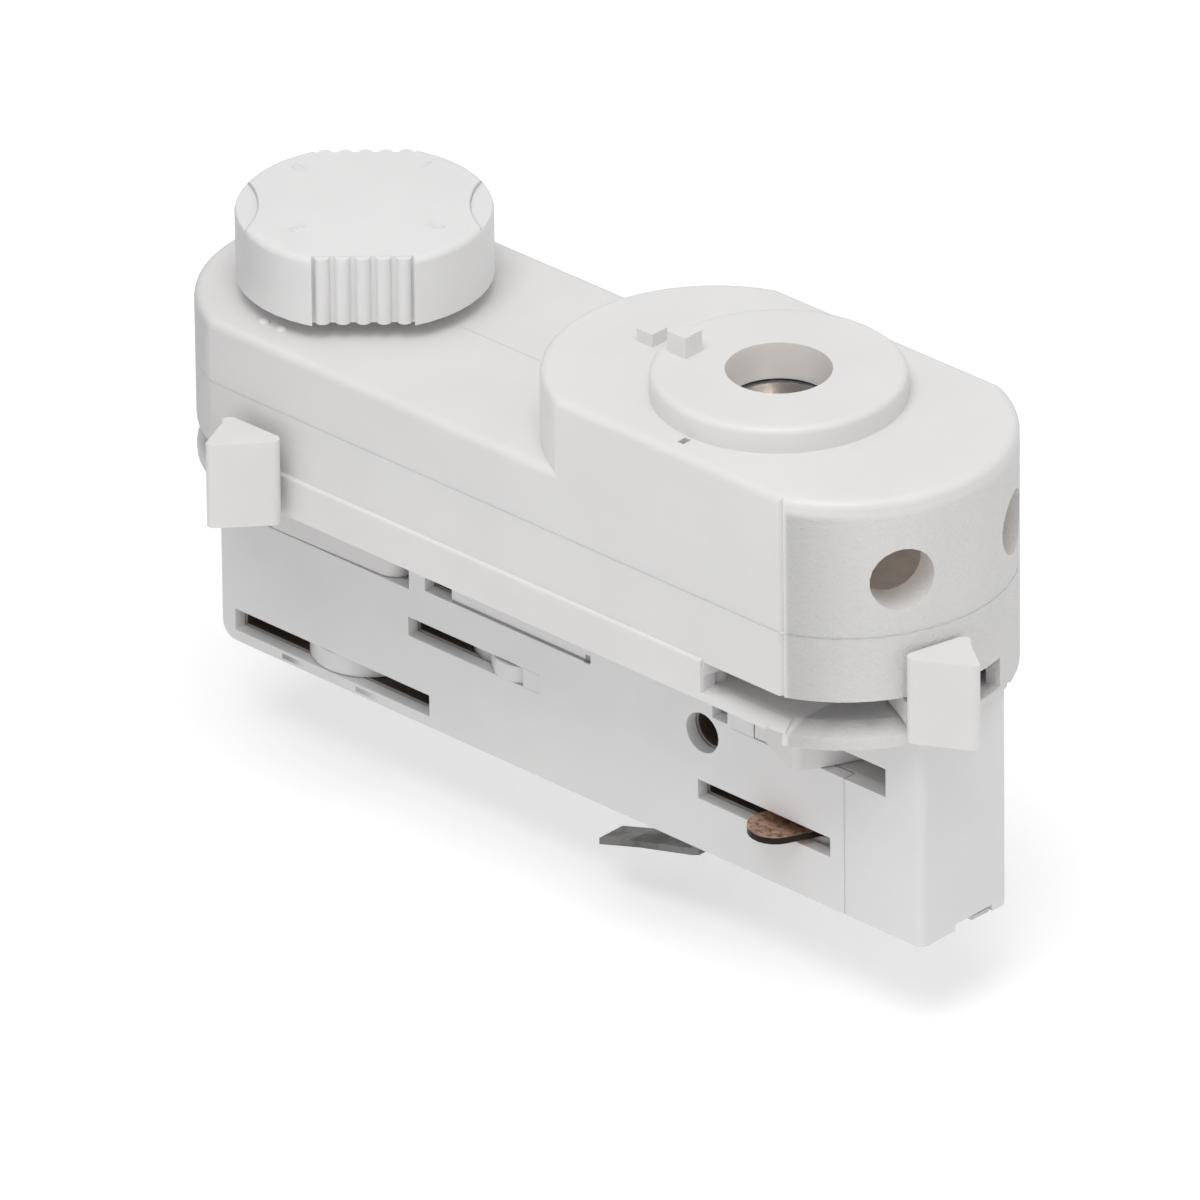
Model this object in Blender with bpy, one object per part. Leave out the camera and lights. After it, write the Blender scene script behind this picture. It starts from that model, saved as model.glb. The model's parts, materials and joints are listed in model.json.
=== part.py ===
"""Track light adapter for a three-circuit track.

The track insert hangs below the flange, and the luminaire side with its nipple boss is above it.
+Z points from the track to the luminaire, +X along the track towards the boss,
and -Y is the front. The origin is on the insert's bottom face, on the middle plane,
halfway between the selector axis and the nipple axis.
"""
import math

import bmesh
import bpy

MM = 0.001

# Clearances
FACE_GAP = 0.3 * MM
RUN_GAP = 0.35 * MM
SEAM_GAP = 0.2 * MM

# Axes along the length
AXIS_PITCH = 63.5 * MM
SELECTOR_X = -AXIS_PITCH / 2
NIPPLE_X = AXIS_PITCH / 2
ROTOR_PITCH = 23.0 * MM
ROTOR_X = SELECTOR_X + ROTOR_PITCH
BLOCK_ARC_OFFSET = 9.9 * MM
LEVER_X = NIPPLE_X + BLOCK_ARC_OFFSET
BLOCK_X = NIPPLE_X - BLOCK_ARC_OFFSET

# Housing outline and levels
HALF_WIDTH = 18.0 * MM
END_BULGE = 1.3 * MM
END_RADIUS = HALF_WIDTH + END_BULGE
WALL = 1.8 * MM
FLANGE_PROUD = 0.5 * MM
FLANGE_BOTTOM = 27.8 * MM
FLANGE_HEIGHT = 5.0 * MM
FLOOR = 0.9 * MM
BASE_HEIGHT = 12.6 * MM
DECK_HEIGHT = 7.7 * MM
BLOCK_HEIGHT = 9.2 * MM
ROOF = 1.8 * MM
EDGE_FILLET = 1.0 * MM
GROOVE_WIDTH = 0.8 * MM
GROOVE_DEPTH = 0.5 * MM
KINK = math.sqrt(END_RADIUS ** 2 - HALF_WIDTH ** 2)
PARTING_Z = FLANGE_BOTTOM + BASE_HEIGHT
DECK_Z = PARTING_Z + DECK_HEIGHT
BLOCK_Z = DECK_Z + BLOCK_HEIGHT
FLOOR_Z = FLANGE_BOTTOM + FLOOR
FLANGE_TOP = FLANGE_BOTTOM + FLANGE_HEIGHT
COVER_BOTTOM = PARTING_Z + SEAM_GAP / 2
BASE_TOP = PARTING_Z - SEAM_GAP / 2

# Nipple seat
RING_RADIUS = HALF_WIDTH - 3.6 * MM
RING_HEIGHT = 3.0 * MM
RING_FILLET = 0.8 * MM
NIPPLE_BORE = 6.0 * MM
NUT_HALF_SIZE = 8.0 * MM
NUT_THICKNESS = 4.0 * MM
NUT_BITE = 0.5 * MM
RING_TOP = BLOCK_Z + RING_HEIGHT
STUDS = ((-18.7 * MM, -0.6 * MM, BLOCK_Z, 2.4 * MM, 1.6 * MM),
         (-10.4 * MM, -4.1 * MM, RING_TOP, 2.7 * MM, 2.6 * MM))
SIGHT_SLOT = (0.9 * MM, 1.3 * MM)

# Cable holes in the round end
CABLE_HOLE_RADIUS = 3.8 * MM
CABLE_HOLE_Z = PARTING_Z + 6.8 * MM
CABLE_HOLE_ANGLE = math.radians(28.0)
CABLE_SLEEVE = 5.0 * MM

# Selector knob
KNOB_RADIUS = HALF_WIDTH - 3.4 * MM
KNOB_HEIGHT = 8.4 * MM
KNOB_LIFT = 1.9 * MM
KNOB_FILLET = 0.8 * MM
COLLAR_RADIUS = 8.0 * MM
KNOB_SOCKET = 5.0 * MM
RIB_COUNT = 5
RIB_PITCH = 2.3 * MM
RIB_GAP = 0.55 * MM
RIB_END = 0.12 * MM
RIB_ANGLE = math.radians(-47.0)
DIAL_BOW_RADIUS = 13.6 * MM
DIAL_BOW_REACH = KNOB_RADIUS - 2.7 * MM
DIAL_STEP = 0.3 * MM
KNOB_BOTTOM = DECK_Z + KNOB_LIFT
KNOB_TOP = KNOB_BOTTOM + KNOB_HEIGHT

# Track insert
INSERT_HALF_WIDTH = 7.1 * MM
INSERT_LEFT = SELECTOR_X - 16.6 * MM
INSERT_RIGHT = LEVER_X + 17.8 * MM
INSERT_CORNER = 1.0 * MM
PANEL_THICKNESS = 1.6 * MM
PANEL_END = LEVER_X + 6.3 * MM
PANEL_BACK = PANEL_THICKNESS - INSERT_HALF_WIDTH
PANEL_CORNER = 2.0 * MM
INSERT_FLOOR = 1.2 * MM
INSERT_TOP = FLANGE_BOTTOM
REAR_WALL = 1.2 * MM
CHANNEL_DEPTH = 0.8 * MM
CHANNEL_LENGTH = 11.5 * MM
CHANNEL_FRONT = -1.6 * MM
CHANNEL_BACK = 4.5 * MM
SCREW_HOLE_RADIUS = 2.45 * MM
SCREW_HOLE_DEPTH = 2.5 * MM
SCREW_HOLE_X = LEVER_X - 15.35 * MM
SCREW_HOLE_Z = 15.06 * MM

# Rotors, shafts and what they carry
SHAFT_RADIUS = 3.1 * MM
ROTOR_RADIUS = 5.0 * MM
ROTOR_LOW = INSERT_FLOOR + FACE_GAP
PHASE_ROTOR_LOW = 5.2 * MM
CONTACT_THICKNESS = 0.8 * MM
CONTACT_START = 1.2 * MM
PHASE_LEVELS = (2.3 * MM, 11.5 * MM, 18.55 * MM)
PHASE_REACH = 9.5 * MM
PHASE_HALF_WIDTH = 1.7 * MM
PHASE_ANGLES = (math.radians(135.0), 0.0, math.radians(135.0))
NEUTRAL_LEVEL = 7.3 * MM
NEUTRAL_REACH = 11.8 * MM
NEUTRAL_HALF_WIDTH = 3.2 * MM
NEUTRAL_ANGLE = math.radians(-115.0)
LOBE_HALF_WIDTH = 3.7 * MM
LOBE_MARGIN = 0.6 * MM
LOBE_REACH = 9.9 * MM
LOBE_ANGLE = math.radians(-38.0)

# Slots of the insert: start and end from the named axis, bottom and top
PHASE_SLOT_1 = (-14.6 * MM, 15.8 * MM, 1.4 * MM, 4.1 * MM)
PHASE_SLOT_2 = (-10.3 * MM, 10.0 * MM, 10.7 * MM, 13.1 * MM)
PHASE_SLOT_3 = (-7.6 * MM, -3.7 * MM, 17.4 * MM, 20.5 * MM)
PANEL_GROOVE = (-3.7 * MM, 18.0 * MM, 17.5 * MM, 20.4 * MM)
GROOVE_SINK = 0.3 * MM
NEUTRAL_SLOT = (-16.1 * MM, 4.0 * MM, 6.5 * MM, 8.9 * MM)
PHASE_ROOM_3 = (-7.6 * MM, 10.2 * MM, 17.4 * MM, 20.5 * MM)
LEFT_CAM_SLOT = (-13.1 * MM, 12.9 * MM, 16.7 * MM, 20.5 * MM)
RIGHT_CAM_SLOT = (-10.8 * MM, 12.4 * MM, 17.3 * MM, 20.8 * MM)
CAM_NOTCH = (-13.8 * MM, -11.5 * MM, 17.6 * MM, 20.8 * MM)

# Locking cams
CAM_REACH = 10.8 * MM
CAM_FLAT = INSERT_HALF_WIDTH - 0.1 * MM
CAM_CORNER = 2.5 * MM
CAM_SIDE_GAP = 0.15 * MM
NOSE_REACH = 8.6 * MM
NOSE_RADIUS = 1.1 * MM
NOSE_ANGLE = math.radians(-85.0)
NOSE_SHOULDER = (3.4 * MM, -6.0 * MM)
NOSE_TAIL = (-8.4 * MM, -5.9 * MM)
DRUM_RADIUS = INSERT_HALF_WIDTH - 0.1 * MM

# Gear pair between the selector shaft and the second rotor
GEAR_TEETH = 20
GEAR_THICKNESS = 3.4 * MM
GEAR_BACKLASH = 0.25 * MM
PRESSURE_ANGLE = math.radians(20.0)
ADDENDUM = 0.85
DEDENDUM = 1.15

# Levers
PLATE_THICKNESS = 3.0 * MM
PLATE_RADIUS = END_RADIUS - 0.1 * MM
LEFT_ARM_ANGLE = math.radians(8.0)
RIGHT_ARM_ANGLE = math.radians(13.5)
DISC_RADIUS = HALF_WIDTH - 6.0 * MM
NECK_SHARE = 0.75
HANDLE_INNER = END_RADIUS + RUN_GAP
HANDLE_DEPTH = 6.65 * MM
HANDLE_TIP = HANDLE_INNER + HANDLE_DEPTH
HANDLE_HALF_WIDTH = 4.1 * MM
HANDLE_LEAN = 1.3 * MM
HANDLE_HEIGHT = 10.6 * MM
HANDLE_ROUND = 0.9 * MM
HUB_RADIUS = 5.0 * MM
WINDOW_HEIGHT = 3.7 * MM
WINDOW_MARGIN = math.radians(1.3)
LEFT_REST = math.radians(-89.0)
LEFT_TRAVEL = math.radians(-90.0)
RIGHT_REST = math.radians(-13.7)
RIGHT_TRAVEL = (math.radians(-76.3), math.radians(13.7))
LIP_INSET = 0.1 * MM
LIP_TOP = 27.6 * MM
LIP_BOTTOM = 26.3 * MM
LIP_SPAN = (math.radians(-68.8), math.radians(10.0))
SILL_DEPTH = 2.5 * MM
SILL_STEP = 0.25 * MM
SILL_END = math.radians(-26.0)
PLATE_LOW = FLOOR_Z + FACE_GAP
PLATE_HIGH = PLATE_LOW + PLATE_THICKNESS

# Bearing plates over the levers, each on two posts
BEARING_Z = FLANGE_TOP + 0.5 * MM
BEARING_THICKNESS = 1.2 * MM
POST_RADIUS = 1.5 * MM
POST_Y = HALF_WIDTH - WALL - POST_RADIUS - RUN_GAP / 2
LEFT_POST_X = SELECTOR_X + 10.0 * MM
RIGHT_POST_X = LEVER_X - 6.4 * MM
LEFT_PLATE_END = ROTOR_X + 10.0 * MM
RIGHT_PLATE_END = RIGHT_POST_X - 1.1 * MM
GEAR_Z = BEARING_Z + BEARING_THICKNESS + FACE_GAP

# Terminals and conductors
CLAMP_COUNT = 5
CLAMP_PITCH = 4.4 * MM
CLAMP_SIZE = 3.2 * MM
CLAMP_HEIGHT = 6.4 * MM
CLAMP_SCREW_RADIUS = 1.0 * MM
TERMINAL_HALF = 6.0 * MM
TERMINAL_HEIGHT = 8.0 * MM
TERMINAL_MARGIN = 3.5 * MM
TERMINAL_START = LEVER_X - DISC_RADIUS - RUN_GAP - TERMINAL_MARGIN - (CLAMP_COUNT - 1) * CLAMP_PITCH
CLAMP_Y = 3.2 * MM
CLAMP_FLOOR = 1.6 * MM
STRIP_COUNT = 4
STRIP_THICKNESS = 0.8 * MM
STRIP_WIDTH = 2.4 * MM
STRIP_PITCH = 3.2 * MM
STRIP_STEP = 1.35 * MM
STRIP_Y = -4.0 * MM
ROOM_LEFT = ROTOR_X + 19.2 * MM
ROOM_RIGHT = LEVER_X - 18.5 * MM
ROOM_LOW = 3.6 * MM
ROOM_ROOF = 2.0 * MM

# Earth spring under the insert
SPRING_FRONT = -6.3 * MM
SPRING_BACK = -2.5 * MM
SPRING_THICKNESS = 0.8 * MM
SPRING_ROOT_X = SCREW_HOLE_X - 1.75 * MM
SPRING_BEND_X = SPRING_ROOT_X - 1.0 * MM
SPRING_KINK_X = SPRING_BEND_X - 7.8 * MM
SPRING_TIP_X = SPRING_KINK_X - 6.2 * MM
SPRING_TIP_Z = -5.0 * MM
SPRING_KINK_Z = -3.1 * MM
SPRING_BEND_Z = -1.0 * MM
SPRING_LEG_FRONT = -5.0 * MM
SPRING_LEG_BACK = -2.8 * MM
SPRING_LEG_TOP = 3.0 * MM
SPRING_ROOM = 0.5 * MM

ARC_STEPS = 22
RIB_STEPS = 12


def material(name, colour, roughness, metallic=0.0):
    """A plain surface with the colour, roughness and metallic value given."""
    made = bpy.data.materials.new(name)
    made.use_nodes = True
    shader = made.node_tree.nodes["Principled BSDF"]
    shader.inputs["Base Color"].default_value = (*colour, 1.0)
    shader.inputs["Roughness"].default_value = roughness
    shader.inputs["Metallic"].default_value = metallic
    return made


def white_plastic(name):
    return material(name, (0.82, 0.81, 0.80), 0.42)


def brass(name):
    return material(name, (0.72, 0.53, 0.26), 0.3, 1.0)


def copper(name):
    return material(name, (0.72, 0.40, 0.24), 0.35, 1.0)


def steel(name):
    return material(name, (0.42, 0.41, 0.41), 0.35, 1.0)


def arc(centre, radius, start, end, steps=ARC_STEPS):
    """Points on an arc, both ends included."""
    turn = (end - start) / steps
    return [(centre[0] + radius * math.cos(start + turn * i),
             centre[1] + radius * math.sin(start + turn * i)) for i in range(steps + 1)]


def circle(radius, steps=2 * ARC_STEPS, centre=(0.0, 0.0)):
    return arc(centre, radius, 0.0, math.tau, steps)[:-1]


def round_ends(left, right, inset=0.0):
    """Housing outline: flat sides closed by an arc at each end, a little wider than a half circle."""
    radius = END_RADIUS - inset
    half = HALF_WIDTH - inset
    swing = math.asin(half / radius)
    return (arc((right, 0.0), radius, -swing, swing)
            + arc((left, 0.0), radius, math.pi - swing, math.pi + swing))


def rectangle(x0, x1, y0, y1):
    return [(x0, y0), (x1, y0), (x1, y1), (x0, y1)]


def rounded_rectangle(x0, x1, y0, y1, radius, steps=4):
    points = []
    for cx, cy, start in ((x1 - radius, y0 + radius, -90), (x1 - radius, y1 - radius, 0),
                          (x0 + radius, y1 - radius, 90), (x0 + radius, y0 + radius, 180)):
        begin = math.radians(start)
        points += arc((cx, cy), radius, begin, begin + math.pi / 2, steps)
    return points


def turned(points, angle):
    """Outline turned about the Z axis."""
    c, s = math.cos(angle), math.sin(angle)
    return [(x * c - y * s, x * s + y * c) for x, y in points]


def loft(name, rings):
    """Closed body through rings of equal length, each a list of (x, y, z)."""
    shape = bmesh.new()
    loops = [[shape.verts.new(point) for point in ring] for ring in rings]
    count = len(loops[0])
    for low, high in zip(loops, loops[1:]):
        for i in range(count):
            j = (i + 1) % count
            shape.faces.new((low[i], low[j], high[j], high[i]))
    shape.faces.new(loops[0])
    shape.faces.new(loops[-1])
    bmesh.ops.recalc_face_normals(shape, faces=shape.faces)
    mesh = bpy.data.meshes.new(name)
    shape.to_mesh(mesh)
    shape.free()
    made = bpy.data.objects.new(name, mesh)
    bpy.context.scene.collection.objects.link(made)
    return made


def level(points, z):
    return [(x, y, z) for x, y in points]


def prism(name, outline, z0, z1):
    return loft(name, [level(outline, z0), level(outline, z1)])


def filleted(name, outline_at, z0, z1, fillet, steps=3):
    """Prism with a rounded top edge; outline_at gives the outline at an inset."""
    rings = [level(outline_at(0.0), z0)]
    for i in range(steps + 1):
        angle = math.pi / 2 * i / steps
        rings.append(level(outline_at(fillet * (1 - math.cos(angle))),
                           z1 - fillet + fillet * math.sin(angle)))
    return loft(name, rings)


def lathe(name, profile, steps=2 * ARC_STEPS):
    """Solid turned about Z from (radius, z) pairs that run upwards."""
    return loft(name, [level(circle(radius, steps), z) for radius, z in profile])


def place(made, x=0.0, y=0.0, z=0.0, turn=0.0):
    made.location = (x, y, z)
    made.rotation_euler = (0.0, 0.0, turn)
    return made


def combine(target, other, operation):
    """Boolean of target with a helper object, which is kept out of renders."""
    other.hide_render = True
    other.display_type = "WIRE"
    step = target.modifiers.new(other.name, "BOOLEAN")
    step.operation = operation
    step.solver = "EXACT"
    step.object = other
    return target


def cut(target, other):
    return combine(target, other, "DIFFERENCE")


def join(target, other):
    return combine(target, other, "UNION")


def smooth(made, degrees=35.0):
    made.data.shade_smooth()
    made.data.set_sharp_from_angle(angle=math.radians(degrees))
    return made


def finish(made, surface):
    made.data.materials.append(surface)
    return smooth(made)


def empty(name, x):
    """Joint frame on a vertical axis."""
    made = bpy.data.objects.new(name, None)
    bpy.context.scene.collection.objects.link(made)
    made.location = (x, 0.0, 0.0)
    return made


def ride(made, axis_frame):
    made.parent = axis_frame
    return made


def box(name, x0, x1, y0, y1, z0, z1):
    return prism(name, rectangle(x0, x1, y0, y1), z0, z1)


def cylinder(name, radius, z0, z1, x=0.0, y=0.0, steps=2 * ARC_STEPS):
    return place(prism(name, circle(radius, steps), z0, z1), x, y)


def cable_hole(name, side, radius, start, end):
    """Cylinder along a cable hole's axis, measured out from the round end's centre."""
    made = prism(name, circle(radius, ARC_STEPS), start, end)
    made.rotation_euler = (0.0, math.pi / 2, side * CABLE_HOLE_ANGLE)
    made.location = (LEVER_X, 0.0, CABLE_HOLE_Z)
    return made


def groove_cutters(name, z0, z1):
    """Upright V-grooves where the flat sides meet the right-hand round end."""
    x = LEVER_X + KINK
    made = []
    for side in (-1, 1):
        outer = side * (HALF_WIDTH + GROOVE_DEPTH)
        outline = [(x - GROOVE_WIDTH, outer), (x, side * (HALF_WIDTH - GROOVE_DEPTH)),
                   (x + GROOVE_WIDTH, outer)]
        made.append(prism(f"{name}_{side}", outline, z0, z1))
    return made


def top_cover():
    """Moulded cover: deck on the selector side, block with the nipple seat on the other."""
    cover = filleted("top_cover", lambda inset: round_ends(SELECTOR_X, LEVER_X, inset),
                     COVER_BOTTOM, DECK_Z, EDGE_FILLET)
    block = filleted("cover_block", lambda inset: round_ends(BLOCK_X, LEVER_X, inset),
                     COVER_BOTTOM, BLOCK_Z, EDGE_FILLET)
    join(cover, block)
    ring = filleted("nipple_ring", lambda inset: circle(RING_RADIUS - inset),
                    BLOCK_Z - ROOF / 2, RING_TOP, RING_FILLET)
    join(cover, place(ring, NIPPLE_X))
    for index, (dx, dy, base, size, height) in enumerate(STUDS):
        half = size / 2
        stud = box(f"index_stud_{index}", -half, half, -half, half, base - ROOF / 2, base + height)
        join(cover, place(stud, NIPPLE_X + dx, dy))
    cut(cover, prism("deck_room", round_ends(SELECTOR_X, LEVER_X, WALL), COVER_BOTTOM - MM, DECK_Z - ROOF))
    cut(cover, prism("block_room", round_ends(BLOCK_X, LEVER_X, WALL), COVER_BOTTOM - MM, BLOCK_Z - ROOF))
    pocket = NUT_HALF_SIZE + FACE_GAP
    rim = pocket + WALL
    seat = box("nut_seat", -rim, rim, -rim, rim, BLOCK_Z - ROOF - NUT_THICKNESS, BLOCK_Z - ROOF / 2)
    join(cover, place(seat, NIPPLE_X))
    nut_room = box("nut_room", -pocket, pocket, -pocket, pocket,
                   BLOCK_Z - ROOF - NUT_THICKNESS - MM, BLOCK_Z - ROOF + FACE_GAP)
    cut(cover, place(nut_room, NIPPLE_X))
    cut(cover, cylinder("nipple_hole", NIPPLE_BORE, PARTING_Z, RING_TOP + MM, NIPPLE_X))
    cut(cover, cylinder("selector_hole", SHAFT_RADIUS + RUN_GAP, PARTING_Z, KNOB_BOTTOM, SELECTOR_X))
    for side in (-1, 1):
        inner = END_RADIUS - CABLE_SLEEVE
        join(cover, cable_hole(f"cable_sleeve_{side}", side, CABLE_HOLE_RADIUS + WALL / 2, inner,
                               END_RADIUS - WALL / 2))
        cut(cover, cable_hole(f"cable_bore_{side}", side, CABLE_HOLE_RADIUS, inner - MM, END_RADIUS + MM))
    for cutter in groove_cutters("cover_groove", COVER_BOTTOM - MM, BLOCK_Z + MM):
        cut(cover, cutter)
    wide, long = SIGHT_SLOT
    slot = box("sight_slot", -wide / 2, wide / 2, -long - FACE_GAP, -FACE_GAP, BLOCK_Z - ROOF - MM,
               BLOCK_Z + MM)
    cut(cover, place(slot, NIPPLE_X, -RING_RADIUS))
    return finish(cover, white_plastic("cover_plastic"))


def window_outline(inner, outer, start, end):
    return arc((0.0, 0.0), outer, start, end) + arc((0.0, 0.0), inner, end, start)


def window_range(side):
    """Angles that a window needs for the lever plate's whole sweep."""
    if side == "left":
        low, high, arm = LEFT_REST + LEFT_TRAVEL, LEFT_REST, LEFT_ARM_ANGLE
    else:
        low, high, arm = RIGHT_REST + RIGHT_TRAVEL[0], RIGHT_REST + RIGHT_TRAVEL[1], RIGHT_ARM_ANGLE
    return low - arm - WINDOW_MARGIN, high + arm + WINDOW_MARGIN


def segment(start, end, inner, outer):
    return window_outline(inner, outer, start, end)


def sloping_sill(name):
    """Wedge that slopes the lip's top down to the rim, under the right-hand window."""
    slope = (FLOOR_Z - LIP_TOP) / SILL_DEPTH
    root = END_RADIUS - SILL_DEPTH - RUN_GAP
    rim = END_RADIUS + RUN_GAP
    section = [(root, FLOOR_Z + slope * RUN_GAP), (rim, LIP_TOP - slope * RUN_GAP), (rim, FLOOR_Z + MM),
               (root, FLOOR_Z + MM)]
    rings = []
    for c, s in arc((0.0, 0.0), 1.0, LIP_SPAN[0] + WINDOW_MARGIN, SILL_END, ARC_STEPS // 2):
        rings.append([(radius * c, radius * s, z) for radius, z in section])
    return loft(name, rings)


def straight_sill(name):
    """Wedge that slopes the flange's top beside the lip, deeper towards the lip."""
    low, _ = window_range("right")
    rings = []
    for x, rim_z in ((LEVER_X + HALF_WIDTH / math.tan(low), FLOOR_Z), (LEVER_X + KINK, LIP_TOP + SILL_STEP)):
        rings.append([(x, SILL_DEPTH - HALF_WIDTH, FLOOR_Z + SILL_STEP), (x, -HALF_WIDTH - MM, rim_z),
                      (x, -HALF_WIDTH - MM, FLOOR_Z + MM), (x, SILL_DEPTH - HALF_WIDTH, FLOOR_Z + MM)])
    return loft(name, rings)


def base_housing():
    """Lower housing with the flange that seats on the track, and a window for each lever."""
    base = prism("base_housing", round_ends(SELECTOR_X, LEVER_X), FLANGE_BOTTOM, BASE_TOP)
    reach = KINK - 2 * MM
    proud = HALF_WIDTH + FLANGE_PROUD

    def band_outline(inset):
        return rectangle(SELECTOR_X - reach, LEVER_X + reach, inset - proud, proud - inset)

    join(base, filleted("flange_band", band_outline, FLANGE_BOTTOM, FLANGE_TOP, FLANGE_PROUD / 2))
    lip = prism("end_lip", segment(*LIP_SPAN, INSERT_HALF_WIDTH, END_RADIUS - LIP_INSET), LIP_BOTTOM,
                FLOOR_Z - FLOOR / 2)
    clear = INSERT_HALF_WIDTH + 2 * FACE_GAP
    cut(lip, box("insert_clearance", SELECTOR_X, INSERT_RIGHT + 2 * FACE_GAP, -clear, clear,
                 LIP_BOTTOM - MM, FLOOR_Z))
    join(base, place(lip, LEVER_X))
    cut(base, prism("base_room", round_ends(SELECTOR_X, LEVER_X, WALL), FLOOR_Z, BASE_TOP + MM))
    for side, x in (("left", SELECTOR_X), ("right", LEVER_X)):
        low, high = window_range(side)
        opening = prism(f"{side}_lever_window", segment(low, high, HUB_RADIUS, HANDLE_TIP),
                        FLOOR_Z, FLOOR_Z + WINDOW_HEIGHT)
        cut(base, place(opening, x))
        cut(base, cylinder(f"{side}_hub_hole", HUB_RADIUS + RUN_GAP, FLANGE_BOTTOM - MM, FLOOR_Z + MM, x,
                           steps=ARC_STEPS))
    cut(base, place(sloping_sill("end_sill"), LEVER_X))
    cut(base, straight_sill("front_sill"))
    cut(base, cylinder("rotor_hole", ROTOR_RADIUS + RUN_GAP, FLANGE_BOTTOM - MM, FLOOR_Z + MM, ROTOR_X,
                       steps=ARC_STEPS))
    for cutter in groove_cutters("base_groove", FLOOR_Z + WINDOW_HEIGHT - MM, BASE_TOP + MM):
        cut(base, cutter)
    for index in range(STRIP_COUNT):
        cut(base, box(f"strip_slit_{index}", *strip_rise(index, FACE_GAP), FLANGE_BOTTOM - MM,
                      FLOOR_Z + MM))
    for x in (LEFT_POST_X, RIGHT_POST_X):
        for side in (-1, 1):
            post = cylinder(f"post_{x:.3f}_{side}", POST_RADIUS, FLOOR_Z - FLOOR / 2,
                            BEARING_Z - FACE_GAP, x, side * POST_Y, ARC_STEPS)
            join(base, post)
    clear = INSERT_HALF_WIDTH + FACE_GAP
    cut(base, box("insert_recess", INSERT_LEFT - FACE_GAP, INSERT_RIGHT + FACE_GAP, -clear, clear,
                  FLANGE_BOTTOM - MM, FLANGE_BOTTOM + FACE_GAP))
    return finish(base, white_plastic("base_plastic"))


def bearing_plate(name, centre, facing, edge, holes):
    """Plate that keeps a lever down and steadies the shafts; it follows the housing's round end."""
    radius = END_RADIUS - WALL - FACE_GAP
    half = HALF_WIDTH - WALL - FACE_GAP
    swing = math.asin(half / radius)
    middle = 0.0 if facing > 0 else math.pi
    outline = arc((centre, 0.0), radius, middle - swing, middle + swing)
    outline += [(edge, facing * half), (edge, -facing * half)]
    plate = prism(name, outline, BEARING_Z, BEARING_Z + BEARING_THICKNESS)
    for x in holes:
        cut(plate, cylinder(f"{name}_hole_{x:.3f}", SHAFT_RADIUS + RUN_GAP, BEARING_Z - MM,
                            BEARING_Z + BEARING_THICKNESS + MM, x, steps=ARC_STEPS))
    return finish(plate, steel(f"{name}_steel"))


def strip_rise(index, grow=0.0):
    """Plan of the upright end of a conductor strip, with room around it."""
    x = ROOM_LEFT + STRIP_WIDTH / 2 + FACE_GAP + index * STRIP_PITCH
    y = STRIP_Y + STRIP_STEP * index
    return (x - STRIP_WIDTH / 2 - grow, x + STRIP_WIDTH / 2 + grow,
            y - STRIP_THICKNESS / 2 - grow, y + STRIP_THICKNESS / 2 + grow)


def slot_cutter(name, axis_x, slot, y0, y1):
    start, end, low, high = slot
    return box(name, axis_x + start, axis_x + end, y0, y1, low, high)


def through_slots(name, third, y0, y1):
    """Slots that go through the insert from side to side."""
    rows = ((SELECTOR_X, PHASE_SLOT_1), (ROTOR_X, PHASE_SLOT_2), (ROTOR_X, third),
            (SELECTOR_X, LEFT_CAM_SLOT), (LEVER_X, RIGHT_CAM_SLOT))
    return [slot_cutter(f"{name}_{i}", x, slot, y0, y1) for i, (x, slot) in enumerate(rows)]


def screw_hole(name, y0, y1):
    """Cylinder across the insert at the panel's screw hole."""
    hole = prism(name, circle(SCREW_HOLE_RADIUS, ARC_STEPS), y0, y1)
    hole.rotation_euler = (-math.pi / 2, 0.0, 0.0)
    hole.location = (SCREW_HOLE_X, 0.0, SCREW_HOLE_Z)
    return hole


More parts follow.
